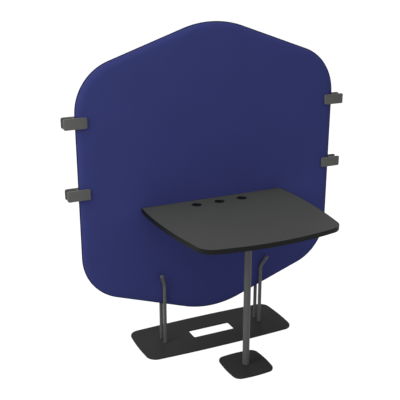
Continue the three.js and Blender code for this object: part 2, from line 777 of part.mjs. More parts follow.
function addLeg() {
  const spigot = legInnerRadius - seatGap;
  const bolt = legBoltDiameter / 2;
  const flangeTop = legFlangeBottom + legFlangeThickness;
  const holeRadius = woodScrewDiameter / 2 + seatGap;
  const [from, to] = [legFlangeBottom - cutOverrun, flangeTop + cutOverrun];
  const flangeHoles = flangeScrewPlaces.map(([x, y]) =>
    rodBetween(holeRadius, from, to, screwSides).translate(x, y - legDepth, 0),
  );
  const spigotEnd = legTop - legSpigotLength;
  const flangeProfile = [[0, spigotEnd], [spigot, spigotEnd], [spigot, legFlangeBottom]];
  flangeProfile.push([legFlangeRadius, legFlangeBottom], [legFlangeRadius, flangeTop], [0, flangeTop]);
  const flange = cut(turned(flangeProfile, legSides), flangeHoles);
  const tube = hollowRod(legRadius, legInnerRadius, legBottom, legTop, legSides);
  const plug = hollowRod(spigot, bolt + seatGap, legBottom, legBottom + legPlugLength, legSides);
  addMesh("leg_tube", tube, rodGrey).position.y = legDepth;
  addMesh("leg_top_flange", flange, steelDark).position.y = legDepth;
  addMesh("leg_foot_plug", plug, zincGrey).position.y = legDepth;
}

function addFoot() {
  const outline = bowedRectangle(footLength, footWidth, footCornerRadius, footBow, footBow, plateCornerSteps);
  const sizes = [legBoltDiameter, legBoltHeadDiameter, legBoltHeadHeight];
  const bores = screwHolesUp([[0, 0]], ...sizes, footThickness);
  const foot = cut(slab(outline, [], plateBottom, footThickness), bores);
  const boltLength = footThickness + legBoltBite;
  const bolt = countersunkScrew(legBoltDiameter, legBoltHeadDiameter, legBoltHeadHeight, boltLength);
  addMesh("foot_plate", foot, steelDark).position.y = legDepth;
  addGlides("foot_glide", footLength / 2 - footGlideInset, footWidth / 2 - footGlideInset, legDepth);
  addMesh("leg_foot_bolt", bolt.translate(0, 0, plateBottom), zincGrey).position.y = legDepth;
}

function addFlangeScrews() {
  const head = legFlangeBottom - seatGap - woodScrewHeadHeight;
  const length = boardTop - boardTipCover - (legFlangeBottom - seatGap);
  flangeScrewPlaces.forEach(([x, y], i) => {
    addMesh(`leg_flange_screw_${i + 1}`, panScrew(length), zincGrey).position.set(x, y, head);
  });
}

// Brackets: bent steel angles, one flange under the top and one on the face of the screen

function bracketGeometry() {
  const corner = (x, y, radius) => ({ point: new THREE.Vector2(x, y), radius, steps: clipNoseSteps });
  const outer = bracketBendRadius;
  const inner = bracketBendRadius - bracketThickness;
  const end = bracketThickness / 4;
  const section = roundedPolygon([
    corner(0, 0, outer),
    corner(0, -bracketDrop, end),
    corner(-bracketThickness, -bracketDrop, end),
    corner(-bracketThickness, -bracketThickness, inner),
    corner(-bracketDepth, -bracketThickness, end),
    corner(-bracketDepth, 0, end),
  ]);
  // The section's first axis is the depth and its second is the height; it runs along the screen
  const profile = slab(section, [], -bracketWidth / 2, bracketWidth);
  profile.applyMatrix4(new THREE.Matrix4().makeBasis(
    new THREE.Vector3(0, 1, 0),
    new THREE.Vector3(0, 0, 1),
    new THREE.Vector3(1, 0, 0),
  ));
  const radius = woodScrewDiameter / 2 + seatGap;
  const reach = bracketThickness + cutOverrun;
  const tools = sides.flatMap((end) => {
    const x = (end * bracketScrewPitch) / 2;
    const up = rodBetween(radius, -reach, cutOverrun, screwSides).translate(x, -bracketScrewReach, 0);
    const through = rodBetween(radius, -reach, cutOverrun, screwSides);
    return [up, acrossY(through, x, -bracketScrewDrop + seatGap)];
  });
  return cut(profile, tools);
}

function addBrackets() {
  for (const side of sides) {
    const mesh = addMesh(`desk_bracket_${sideNames[side]}`, bracketGeometry(), steelDark);
    mesh.position.set((side * bracketSpacing) / 2, topBack, topUnderside - seatGap);
  }
  const faces = topBack - bracketThickness - seatGap;
  const coreLength = coreThickness / 2 - coreTipCover - faces;
  const under = topUnderside - bracketThickness - 2 * seatGap;
  const boardLength = boardTop - boardTipCover - under;
  for (const { x, name } of bracketScrews) {
    const level = acrossY(panScrew(coreLength).translate(0, 0, faces - woodScrewHeadHeight), 0, 0);
    const across = addMesh(`bracket_screen_screw_${name}`, level, zincGrey);
    across.position.set(x, 0, topUnderside - bracketScrewDrop);
    const upright = addMesh(`bracket_desktop_screw_${name}`, panScrew(boardLength), zincGrey);
    upright.position.set(x, topBack - bracketScrewReach, under - woodScrewHeadHeight);
  }
}

// Link clips: an H in plan, one channel on the screen's edge and one open for the next screen

function clipQuarter() {
  const tip = clipLength / 2;
  const outer = clipChannel / 2 + clipJawThickness;
  const corner = (x, y, radius, steps) => ({ point: new THREE.Vector2(x, y), radius, steps });
  return [
    corner(clipWebThickness / 2, clipChannel / 2, clipRootRadius, smallCornerSteps),
    corner(tip, clipChannel / 2, clipHeelRadius, clipNoseSteps),
    corner(tip, outer, clipNoseRadius, clipNoseSteps),
  ];
}

function clipOutline() {
  const quarter = clipQuarter();
  const placed = (x, y) => quarter.map(({ point, radius, steps }) => ({
    point: new THREE.Vector2(x * point.x, y * point.y),
    radius,
    steps,
  }));
  return roundedPolygon([
    ...placed(1, 1),
    ...placed(-1, 1).reverse(),
    ...placed(-1, -1),
    ...placed(1, -1).reverse(),
  ]);
}

// The H is drawn out upwards, and the four corners that each jaw shows from the front are rounded
function clipGeometry() {
  const bevel = { bevelEnabled: true, bevelSegments: 1, bevelOffset: -clipEdgeBevel };
  const depth = clipHeight - 2 * clipEdgeBevel;
  const sizes = { bevelThickness: clipEdgeBevel, bevelSize: clipEdgeBevel, depth };
  const options = { ...bevel, ...sizes };
  const bar = new THREE.ExtrudeGeometry(new THREE.Shape(clipOutline()), options);
  const front = roundedRectangle(clipLength, clipHeight, clipCornerRadius, clipCornerSteps);
  const reach = clipChannel / 2 + clipJawThickness + cutOverrun;
  const jaws = acrossY(slab(front, [], -reach, 2 * reach), 0, 0);
  return toGeometry(toSolid(bar.translate(0, 0, clipEdgeBevel - clipHeight / 2)).intersect(toSolid(jaws)));
}

function addClips() {
  for (const side of sides) {
    for (const [level, rise] of [["upper", clipUpperRise], ["lower", clipLowerRise]]) {
      const mesh = addMesh(`link_clip_${level}_${sideNames[side]}`, clipGeometry(), clipGrey);
      mesh.position.set(side * clipCentre, 0, screenMidHeight + rise);
    }
  }
}

addScreen();
addBase();
addRods();
addClampBolts();
addDeskTop();
addGrommets();
addLeg();
addFoot();
addFlangeScrews();
addBrackets();
addClips();

// The origin lies on the floor, half-way from the front of the desk top to the back of the base plate
const frontReach = topBack - topSideDepth - topFrontBulge;
part.position.y = -(frontReach + plateWidth / 2) / 2;

export default part;
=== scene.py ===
"""Desk with a privacy screen: a padded rounded hexagon on a steel plate, with a small tapered desk in front
of it and four link clips on its upright edges."""
import functools
import math

import bpy
import numpy as np
from bpy.props import FloatProperty, FloatVectorProperty, PointerProperty, StringProperty
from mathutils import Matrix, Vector


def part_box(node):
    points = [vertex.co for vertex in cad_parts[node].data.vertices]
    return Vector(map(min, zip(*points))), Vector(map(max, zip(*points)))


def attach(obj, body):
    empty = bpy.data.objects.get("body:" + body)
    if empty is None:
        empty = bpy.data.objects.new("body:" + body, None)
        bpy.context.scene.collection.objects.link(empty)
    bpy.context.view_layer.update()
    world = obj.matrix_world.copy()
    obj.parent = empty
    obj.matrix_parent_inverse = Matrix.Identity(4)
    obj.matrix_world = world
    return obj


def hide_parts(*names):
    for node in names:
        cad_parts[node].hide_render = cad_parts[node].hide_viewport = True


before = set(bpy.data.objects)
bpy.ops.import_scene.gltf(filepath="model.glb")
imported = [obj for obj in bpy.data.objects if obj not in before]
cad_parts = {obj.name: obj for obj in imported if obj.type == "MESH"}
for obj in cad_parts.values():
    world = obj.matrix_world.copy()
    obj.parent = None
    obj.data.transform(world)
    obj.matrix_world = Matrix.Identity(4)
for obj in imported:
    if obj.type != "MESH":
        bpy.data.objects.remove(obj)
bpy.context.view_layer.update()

bl_info = {
    "name": "Desk with Privacy Screen",
    "version": (1, 0, 0),
    "blender": (4, 5, 0),
    "location": "View3D > Sidebar > Desk Screen",
    "description": "Dresses a desk with a padded privacy screen around its measured solids",
    "category": "Add Mesh",
}

# From the frame: the boxes of the solids and the plane between the two pads
STAND = "stand"
PAD_LOW, PAD_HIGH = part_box("screen_front_pad")
BACK_LOW, BACK_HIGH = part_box("screen_back_pad")
SCREEN_PLANE = (PAD_HIGH.y + BACK_LOW.y) / 2
SCREEN_MIDDLE = (PAD_LOW.z + PAD_HIGH.z) / 2
SCREEN_FOOT = Vector((0, SCREEN_PLANE, 0))
MM = 0.001

# Padding: the pocket that the core lies in, the gaps and the power of the roll's curve; the rings inside the
# pocket and on the face are shares of the outline, down to the hub's
POCKET_INSET = 11.7 * MM
POCKET_DEPTH = 6.3 * MM
POCKET_SHARES = (0.3, 0.7, 1)
HALF_SEAM_GAP = 0.15 * MM
FACE_CLEARANCE = 0.25 * MM
ROLL_POWER = 1.6
HUB_SHARE = 0.04

# Padding: the foam lifts nothing nearer the middle than the still share of the way out to the edge, and its
# lift fades in over the next share
STILL_SHARE = 0.5
FADE_SHARE = 0.3
CLOTH_FRAMES = 20
LEAST_MOVE = 1e-12

# Counts of points and rings
OUTLINE_ARC_POINTS = 65
PAD_POINTS = 400
ROLL_ROWS = 14
CROWN_ROWS = 10
MIDDLE_ROWS = 21
WELT_POINTS = 720
WELT_SIDES = 12
FLOOR_SIDES = 96

# Solids that are carried over
JOIN_DISTANCE = 0.01 * MM
FLAT_ANGLE = math.radians(0.5)
SHARP_ANGLE = math.radians(32)
ROUNDED_ANGLE = math.radians(40)
ROUNDED_SEGMENTS = 2

# Stage: places in metres from the foot of the screen; a lamp has its place, its width in metres and its
# power in watts
LAMP_AIM = (0, -0.2, 0.8)
LAMPS = {
    "top_lamp": ((-1.5, -0.4, 4.0), 2.0, 56),
    "side_lamp": ((-3.0, -0.9, 2.1), 1.8, 56),
    "front_lamp": ((-1.0, -5.0, 0.5), 3.0, 45),
    "back_lamp": ((2.2, 4.5, 0.8), 2.0, 70),
}
SENSOR_WIDTH_MM = 36
CAMERA_REACH = 200


# Settings that a user would change

class ScreenSettings(bpy.types.PropertyGroup):
    """Sizes and colour of the padded screen."""
    width: FloatProperty(
        name="Width", description="Width over the upright edges", unit="LENGTH",
        default=PAD_HIGH.x - PAD_LOW.x)
    height: FloatProperty(
        name="Height", description="Height from the lowest to the highest point", unit="LENGTH",
        default=PAD_HIGH.z - PAD_LOW.z)
    thickness: FloatProperty(
        name="Thickness", description="Thickness over both pads", unit="LENGTH",
        default=BACK_HIGH.y - PAD_LOW.y)
    slope: FloatProperty(
        name="Slope", description="Angle of the upper and lower edges to the level", subtype="ANGLE",
        default=math.radians(19.2))
    side_radius: FloatProperty(
        name="Side radius", description="Radius of the four corners beside the upright edges",
        unit="LENGTH", default=0.242)
    peak_radius: FloatProperty(
        name="Peak radius", description="Radius of the top and bottom corners",
        unit="LENGTH", default=0.467)
    roll: FloatProperty(
        name="Rolled edge", description="Width over which the padding rolls to the seam",
        unit="LENGTH", default=0.036)
    crown: FloatProperty(
        name="Crown", description="Depth that the padding's face swells by",
        unit="LENGTH", default=0.0006)
    crown_width: FloatProperty(
        name="Crown width", description="Width over which the face swells",
        unit="LENGTH", default=0.16)
    pressure: FloatProperty(
        name="Filling pressure", description="Pressure of the foam against the cloth", default=4.0)
    swell: FloatProperty(
        name="Swell", description="Farthest that the cloth may move when it is filled",
        unit="LENGTH", default=0.0007)
    welt_radius: FloatProperty(
        name="Welt radius", description="Radius of the piping sewn into the seam",
        unit="LENGTH", default=0.0033)
    cloth_colour: StringProperty(
        name="Cloth colour", description="Colour of the yarn as an sRGB hex value", default="2F3466")


class DeskSettings(bpy.types.PropertyGroup):
    """Colours of the hard pieces and the radius of their edges."""
    laminate_colour: StringProperty(
        name="Laminate colour", description="Colour of the top sheet as an sRGB hex value",
        default="3F403E")
    band_colour: StringProperty(
        name="Edge band colour", description="Colour of the edge band as an sRGB hex value",
        default="101111")
    tube_colour: StringProperty(
        name="Tube colour", description="Colour of the leg and the rods as an sRGB hex value",
        default="4D4D4E")
    plate_colour: StringProperty(
        name="Plate colour", description="Colour of the base plates as an sRGB hex value",
        default="2F2F2F")
    clip_colour: StringProperty(
        name="Clip colour", description="Colour of the link clips as an sRGB hex value",
        default="515150")
    edge_radius: FloatProperty(
        name="Edge radius", description="Radius worked onto the edges of the hard pieces",
        unit="LENGTH", default=0.0006)


class StageSettings(bpy.types.PropertyGroup):
    """Camera, light and floor."""
    azimuth: FloatProperty(
        name="Azimuth", description="Turn of the camera from straight in front", subtype="ANGLE",
        default=-0.4408141)
    elevation: FloatProperty(
        name="Elevation", description="Tilt of the camera's line below the level", subtype="ANGLE",
        default=0.3246118)
    place: FloatVectorProperty(
        name="Camera place", description="Where the camera stands, from the foot of the screen",
        size=3, subtype="TRANSLATION", default=(-1.54173, -3.12876, 1.89548))
    lens: FloatProperty(
        name="Focal length", description="Focal length in millimetres on a sensor of 36 mm",
        default=67.4325)
    world_level: FloatProperty(
        name="Room light", description="Strength of the light from all round", default=0.8)
    floor_radius: FloatProperty(
        name="Floor radius", description="Radius of the pale floor", unit="LENGTH", default=30.0)


GROUPS = {
    ScreenSettings: "screen_settings",
    DeskSettings: "desk_settings",
    StageSettings: "stage_settings",
}


# Meshes from arrays

def make_piece(name, points, faces, body, material):
    """Puts an array of points and a list of faces into a smooth mesh object that rides on a body."""
    mesh = bpy.data.meshes.new(name)
    mesh.from_pydata(np.asarray(points, float).tolist(), [], faces)
    mesh.polygons.foreach_set("use_smooth", np.full(len(mesh.polygons), True))
    mesh.materials.append(material)
    mesh.update()
    piece = bpy.data.objects.new(name, mesh)
    bpy.context.scene.collection.objects.link(piece)
    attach(piece, body)
    return piece


def lay_pattern(piece, pattern):
    """Gives the piece a UV map of the cut cloth: the place in metres that each of its points has on it."""
    layer = piece.data.uv_layers.new(name="cut_cloth")
    corners = np.empty(len(piece.data.loops), int)
    piece.data.loops.foreach_get("vertex_index", corners)
    layer.data.foreach_set("uv", pattern[corners].ravel())


def grid_faces(rings, count, closed):
    """Quads between neighbouring rings of count points; closed also joins the last ring to the first."""
    ring = np.arange(rings if closed else rings - 1)[:, None] * count
    after = (ring + count) % (rings * count)
    here = np.arange(count)[None, :]
    there = (here + 1) % count
    quads = np.stack([ring + here, ring + there, after + there, after + here], -1)
    return quads.reshape(-1, 4).tolist()


def capped_faces(rings, count):
    """Quads between the rings, and a fan of triangles from the first and the last ring to a hub of its own.
    The hubs' points come after the rings'."""
    here = np.arange(count)
    there = (here + 1) % count
    first, last = rings * count, rings * count + 1
    start = np.stack([np.full(count, first), there, here], -1)
    end = np.stack([np.full(count, last), (rings - 1) * count + here, (rings - 1) * count + there], -1)
    return grid_faces(rings, count, False) + start.tolist() + end.tolist()


def unit(vectors):
    """The same directions with length one."""
    return vectors / np.linalg.norm(vectors, axis=-1, keepdims=True)


def screen_outline(settings, count):
    """Points and outward normals of the rounded hexagon: six corners, each cut by an arc that touches both
    of its sides, then sampled at equal steps along the edge."""
    half = settings.width / 2
    slope = settings.slope
    peak = settings.height / 2 + settings.peak_radius * (1 / math.cos(slope) - 1)
    shoulder = peak - half * math.tan(slope)
    corners = np.array([
        [half, -shoulder], [half, shoulder], [0, peak], [-half, shoulder], [-half, -shoulder], [0, -peak]])
    side, top = settings.side_radius, settings.peak_radius
    radii = np.array([side, side, top, side, side, top])[:, None]
    before = unit(np.roll(corners, 1, 0) - corners)
    after = unit(np.roll(corners, -1, 0) - corners)
    opening = np.arccos(np.sum(before * after, 1, keepdims=True)) / 2
    centres = corners + unit(before + after) * radii / np.sin(opening)
    spokes = (corners + toward * radii / np.tan(opening) - centres for toward in (before, after))
    start, end = (np.arctan2(spoke[:, 1], spoke[:, 0])[:, None] for spoke in spokes)
    turn = (end - start + math.pi) % math.tau - math.pi
    angles = start + turn * np.linspace(0, 1, OUTLINE_ARC_POINTS)[None, :]
    normals = np.stack([np.cos(angles), np.sin(angles)], -1)
    points = (centres[:, None] + radii[:, None] * normals).reshape(-1, 2)
    normals = normals.reshape(-1, 2)
    points, normals = (np.vstack([column, column[:1]]) for column in (points, normals))
    walked = np.concatenate([[0], np.cumsum(np.linalg.norm(np.diff(points, axis=0), axis=1))])
    steps = np.linspace(0, walked[-1], count, endpoint=False)
    sample = [np.interp(steps, walked, column) for column in (*points.T, *normals.T)]
    return np.stack(sample[:2], -1), unit(np.stack(sample[2:], -1))


# Materials

def linear(hex_colour):
    """An sRGB hex value as a linear colour with alpha."""
    values = [int(hex_colour[i:i + 2], 16) / 255 for i in (0, 2, 4)]
    return [v / 12.92 if v <= 0.04045 else ((v + 0.055) / 1.055) ** 2.4 for v in values] + [1.0]


def tinted(hex_colour, share):
    """The hex colour made lighter (share above one) or darker, in sRGB."""
    return "".join(f"{min(255, round(int(hex_colour[i:i + 2], 16) * share)):02X}" for i in (0, 2, 4))


def add(tree, kind, inputs=None, **settings):
    """Adds one node: settings are its properties, inputs its socket values or the sockets linked to them."""
    made = tree.nodes.new(kind)
    for name, value in settings.items():
        setattr(made, name, value)
    for name, value in (inputs or {}).items():
        if isinstance(value, bpy.types.NodeSocket):
            tree.links.new(value, made.inputs[name])
        else:
            made.inputs[name].default_value = value
    return made


def new_material(name, roughness, **constants):
    """A material with one principled shader: the material, its tree, the shader and the coordinates."""
    material = bpy.data.materials.new(name)
    material.use_nodes = True
    tree = material.node_tree
    shader = tree.nodes["Principled BSDF"]
    shader.inputs["Roughness"].default_value = roughness
    for socket, value in constants.items():
        shader.inputs[socket.replace("_", " ")].default_value = value
    return material, tree, shader, add(tree, "ShaderNodeTexCoord")


def finish_surface(tree, shader, shade, dark, light, relief=None, gloss=None):
    """Links a finish's patterns to its shader. The colour goes from dark to light with the shade. A relief
    is a height pattern, its depth in metres and its strength. A gloss is a pattern, the middle roughness and
    how far it strays from that to each side."""
    ramp = add(tree, "ShaderNodeValToRGB", {"Fac": shade})
    ramp.color_ramp.elements[0].color = linear(dark)
    ramp.color_ramp.elements[1].color = linear(light)
    tree.links.new(ramp.outputs["Color"], shader.inputs["Base Color"])
    if gloss:
        pattern, middle, stray = gloss
        spread = add(tree, "ShaderNodeMapRange", {
            "Value": pattern, "To Min": middle - stray, "To Max": middle + stray})
        tree.links.new(spread.outputs[0], shader.inputs["Roughness"])
    if relief:
        height, depth, strength = relief
        bump = add(tree, "ShaderNodeBump", {"Height": height, "Distance": depth, "Strength": strength})
        tree.links.new(bump.outputs["Normal"], shader.inputs["Normal"])


def woven_wool_cloth(name, colour, gloss, fuzz):
    """Upholstery cloth, woven from wool yarn: two sets of threads at right angles, one over and one under.
    It gives the eye a soft matt face with a faint grain, mottled yarn and a pale rim of fibres."""
    material, tree, shader, coords = new_material(
        name, 0.9, Sheen_Weight=fuzz, Sheen_Roughness=0.4, Sheen_Tint=linear("8C90D0"),
        Specular_IOR_Level=gloss)
    cloth = coords.outputs["UV"]
    # The threads waver by up to 0.4 mm, every 17 mm or so
    waver = add(tree, "ShaderNodeTexNoise", {"Vector": cloth, "Scale": 1 / (16.7 * MM), "Detail": 2.0})
    bent = add(
        tree, "ShaderNodeVectorMath", {0: waver.outputs["Color"], "Scale": 0.4 * MM}, operation="SCALE")
    moved = add(tree, "ShaderNodeVectorMath", {0: cloth, 1: bent.outputs["Vector"]}, operation="ADD")
    split = add(tree, "ShaderNodeSeparateXYZ", {"Vector": moved.outputs["Vector"]})
    # The real thread spacing is 0.7 mm; it is drawn at 2.2 mm, so that the weave shows at all
    spacing = 2.2 * MM
    waves = []
    for axis in ("X", "Y"):
        angle = add(
            tree, "ShaderNodeMath", {0: split.outputs[axis], 1: math.pi / spacing}, operation="MULTIPLY")
        waves.append(add(tree, "ShaderNodeMath", {0: angle.outputs[0]}, operation="SINE").outputs[0])
    over = add(tree, "ShaderNodeMath", {0: waves[0], 1: waves[1]}, operation="MULTIPLY")
    weave = add(tree, "ShaderNodeMapRange", {"Value": over.outputs[0], "From Min": -1.0, "From Max": 1.0})
    # Flecks of paler fibre are about 4 mm long, and the dye is cloudy over 200 mm
    fleck = add(tree, "ShaderNodeTexNoise", {"Vector": cloth, "Scale": 1 / (3.85 * MM), "Detail": 3.0})
    cloud = add(tree, "ShaderNodeTexNoise", {"Vector": cloth, "Scale": 1 / (200 * MM), "Detail": 2.0})
    tone = add(tree, "ShaderNodeMath", {0: fleck.outputs["Fac"], 1: 0.55}, operation="MULTIPLY")
    for pattern, weight in ((weave.outputs[0], 0.22), (cloud.outputs["Fac"], 0.25)):
        tone = add(
            tree, "ShaderNodeMath", {0: pattern, 1: weight, 2: tone.outputs[0]}, operation="MULTIPLY_ADD")
    grain = add(
        tree, "ShaderNodeMath", {0: fleck.outputs["Fac"], 1: 0.5, 2: weave.outputs[0]},
        operation="MULTIPLY_ADD")
    finish_surface(
        tree, shader, tone.outputs[0], tinted(colour, 0.86), tinted(colour, 1.12),
        relief=(grain.outputs[0], 0.25 * MM, 0.6))
    return material


def powder_coated_steel(name, colour, roughness, gloss):
    """Sheet or tube steel, powder coated: the powder melts to a skin with a fine orange peel. It gives the
    eye an even, slightly cloudy colour with soft, slightly broken reflections."""
    material, tree, shader, coords = new_material(name, roughness, Specular_IOR_Level=gloss)
    place = coords.outputs["Object"]
    # Orange peel has waves of about 0.8 mm; it is drawn at 1.6 mm. The coat's colour is cloudy over 111 mm
    peel = add(tree, "ShaderNodeTexNoise", {"Vector": place, "Scale": 1 / (1.6 * MM), "Detail": 1.0})
    cloud = add(tree, "ShaderNodeTexNoise", {"Vector": place, "Scale": 1 / (111 * MM), "Detail": 3.0})
    finish_surface(
        tree, shader, cloud.outputs["Fac"], tinted(colour, 0.95), tinted(colour, 1.05),
        relief=(peel.outputs["Fac"], 0.03 * MM, 0.5), gloss=(peel.outputs["Fac"], roughness, 0.06))
    return material


def pressed_laminate(name, colour):
    """High-pressure laminate, pressed against a finely etched plate. It gives the eye an even matt face with
    a faint pebble grain and small pale flecks."""
    roughness = 0.55
    material, tree, shader, coords = new_material(name, roughness, Specular_IOR_Level=0.03)
    place = coords.outputs["Object"]
    # The pebbles of the press plate are about 1 mm; they are drawn at 2 mm
    pebble = add(tree, "ShaderNodeTexVoronoi", {"Vector": place, "Scale": 1 / (2.0 * MM)})
    # The print has flecks of 2.4 mm and clouds of 286 mm
    fleck = add(tree, "ShaderNodeTexNoise", {"Vector": place, "Scale": 1 / (2.38 * MM), "Detail": 2.0})
    cloud = add(tree, "ShaderNodeTexNoise", {"Vector": place, "Scale": 1 / (286 * MM), "Detail": 2.0})
    tone = add(tree, "ShaderNodeMath", {0: fleck.outputs["Fac"], 1: 0.5}, operation="MULTIPLY")
    tone = add(
        tree, "ShaderNodeMath", {0: cloud.outputs["Fac"], 1: 0.5, 2: tone.outputs[0]},
        operation="MULTIPLY_ADD")
    finish_surface(
        tree, shader, tone.outputs[0], tinted(colour, 0.92), tinted(colour, 1.08),
        relief=(pebble.outputs["Distance"], 0.05 * MM, 0.4), gloss=(fleck.outputs["Fac"], roughness, 0.07))
    return material


def extruded_edge_plastic(name, colour):
    """ABS edge band, extruded and glued on hot. It gives the eye a dark satin strip with faint lines."""
    material, tree, shader, coords = new_material(name, 0.5, Specular_IOR_Level=0.1)
    split = add(tree, "ShaderNodeSeparateXYZ", {"Vector": coords.outputs["Object"]})
    # Draw lines are about 0.3 mm apart; they are drawn at 0.9 mm
    line = add(
        tree, "ShaderNodeTexNoise", {"W": split.outputs["Z"], "Scale": 1 / (0.9 * MM), "Detail": 1.0},
        noise_dimensions="1D")
    finish_surface(
        tree, shader, line.outputs["Fac"], tinted(colour, 0.9), tinted(colour, 1.12),
        relief=(line.outputs["Fac"], 0.02 * MM, 0.4))
    return material


def moulded_plastic(name, colour, roughness):
    """Nylon or ABS, injection moulded in a spark-eroded tool. It gives the eye a fine sandy matt skin."""
    material, tree, shader, coords = new_material(name, roughness, Specular_IOR_Level=0.12)
    place = coords.outputs["Object"]
    # Spark-eroded grain is about 0.2 mm; it is drawn at 0.8 mm. The melt's flow marks are 71 mm long
    grain = add(tree, "ShaderNodeTexNoise", {"Vector": place, "Scale": 1 / (0.8 * MM), "Detail": 2.0})
    flow = add(
        tree, "ShaderNodeTexNoise",
        {"Vector": place, "Scale": 1 / (71.4 * MM), "Detail": 2.0, "Distortion": 0.6})
    finish_surface(
        tree, shader, flow.outputs["Fac"], tinted(colour, 0.95), tinted(colour, 1.06),
        relief=(grain.outputs["Fac"], 0.04 * MM, 0.5), gloss=(grain.outputs["Fac"], roughness, 0.08))
    return material


def moulded_rubber(name):
    """Rubber, compression moulded. It gives the eye a dull black skin with a dusty bloom."""
    material, tree, shader, coords = new_material(name, 0.85, Specular_IOR_Level=0.3)
    # The bloom lies in spots of about 8 mm
    bloom = add(
        tree, "ShaderNodeTexNoise",
        {"Vector": coords.outputs["Object"], "Scale": 1 / (8.33 * MM), "Detail": 3.0})
    finish_surface(
        tree, shader, bloom.outputs["Fac"], "131313", "242424",
        relief=(bloom.outputs["Fac"], 0.05 * MM, 0.4))
    return material


def zinc_plated_steel(name):
    """Steel fasteners, zinc plated and passivated. It gives the eye a cool grey metal, cloudily bright."""
    roughness = 0.36
    material, tree, shader, coords = new_material(name, roughness, Metallic=1.0)
    # The passivated film is cloudy over 2 mm
    cloud = add(
        tree, "ShaderNodeTexNoise",
        {"Vector": coords.outputs["Object"], "Scale": 1 / (2.0 * MM), "Detail": 3.0})
    finish_surface(
        tree, shader, cloud.outputs["Fac"], "8E9296", "A9ADB0", gloss=(cloud.outputs["Fac"], roughness, 0.1))
    return material


def particle_board(name):
    """Particle board, pressed from wood chips. It gives the eye pale and dark chips in a tan glue."""
    material, tree, shader, coords = new_material(name, 0.8)
    # Chips are 2 to 5 mm long
    chips = add(
        tree, "ShaderNodeTexVoronoi",
        {"Vector": coords.outputs["Object"], "Scale": 1 / (3.5 * MM), "Randomness": 1.0})
    split = add(tree, "ShaderNodeSeparateColor", {"Color": chips.outputs["Color"]})
    finish_surface(
        tree, shader, split.outputs[0], "6E5336", "B08F66",
        relief=(chips.outputs["Distance"], 0.1 * MM, 0.4))
    return material


@functools.cache
def finishes():
    """All materials by finish, made once."""
    desk, screen = bpy.context.scene.desk_settings, bpy.context.scene.screen_settings
    return {
        "cloth": woven_wool_cloth("woven_wool_cloth_blue", screen.cloth_colour, 0.08, 0.06),
        # The welt is the cloth at 0.45 of its colour: partly the piping's own darker tone, partly painted
        # shade for the dark line round the screen's edge
        "welt": woven_wool_cloth("woven_wool_welt_blue_painted_shade", tinted(screen.cloth_colour, 0.45), 0.03, 0.0),
        "plate": powder_coated_steel("powder_coated_steel_charcoal", desk.plate_colour, 0.8, 0.02),
        "tube": powder_coated_steel("powder_coated_steel_grey", desk.tube_colour, 0.45, 0.15),
        "laminate": pressed_laminate("pressed_laminate_charcoal", desk.laminate_colour),
        "backing": pressed_laminate("pressed_laminate_black", desk.band_colour),
        "band": extruded_edge_plastic("extruded_abs_black", desk.band_colour),
        "grommet": moulded_plastic("moulded_abs_black", "090908", 0.6),
        "clip": moulded_plastic("moulded_nylon_grey", desk.clip_colour, 0.55),
        "rubber": moulded_rubber("moulded_rubber_black"),
        "zinc": zinc_plated_steel("zinc_plated_steel"),
        "board": particle_board("particle_board_raw"),
    }


# Carried-over solids

@functools.cache
def smoothing_group():
    """A node tree that shades faces smooth but keeps edges with more than the sharp angle."""
    tree = bpy.data.node_groups.new("smooth_below_angle", "GeometryNodeTree")
    tree.interface.new_socket("Geometry", in_out="INPUT", socket_type="NodeSocketGeometry")
    tree.interface.new_socket("Geometry", in_out="OUTPUT", socket_type="NodeSocketGeometry")
    inlet = add(tree, "NodeGroupInput")
    faces = add(
        tree, "GeometryNodeSetShadeSmooth",
        {"Geometry": inlet.outputs[0], "Shade Smooth": True}, domain="FACE")
    angle = add(tree, "GeometryNodeInputMeshEdgeAngle")
    sharp = add(tree, "FunctionNodeCompare", {0: angle.outputs[0], 1: SHARP_ANGLE}, operation="GREATER_THAN")
    edges = add(
        tree, "GeometryNodeSetShadeSmooth",
        {"Geometry": faces.outputs[0], "Selection": sharp.outputs[0], "Shade Smooth": False}, domain="EDGE")
    outlet = add(tree, "NodeGroupOutput")
    tree.links.new(edges.outputs[0], outlet.inputs[0])
    return tree


def dress(prefix, finish, radius=None):
    """Gives every solid whose name starts with prefix its finish, smooth curved faces and, with a radius,
    rounded edges."""
    named = [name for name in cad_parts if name.startswith(prefix)]
    if not named:
        raise RuntimeError(f"no solid is named {prefix}")
    for name in named:
        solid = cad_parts[name]
        solid.data.materials.clear()
        solid.data.materials.append(finishes()[finish])
        weld = solid.modifiers.new("join_points", "WELD")
        weld.merge_threshold = JOIN_DISTANCE
        flat = solid.modifiers.new("flat_faces", "DECIMATE")
        flat.decimate_type = "DISSOLVE"
        flat.angle_limit = FLAT_ANGLE
        smooth = solid.modifiers.new("smooth_faces", "NODES")
        smooth.node_group = smoothing_group()
        if radius:
            bevel = solid.modifiers.new("rounded_edges", "BEVEL")
            bevel.width = radius
            bevel.segments = ROUNDED_SEGMENTS
            bevel.limit_method = "ANGLE"
            bevel.angle_limit = ROUNDED_ANGLE
            bevel.harden_normals = True


# Screen

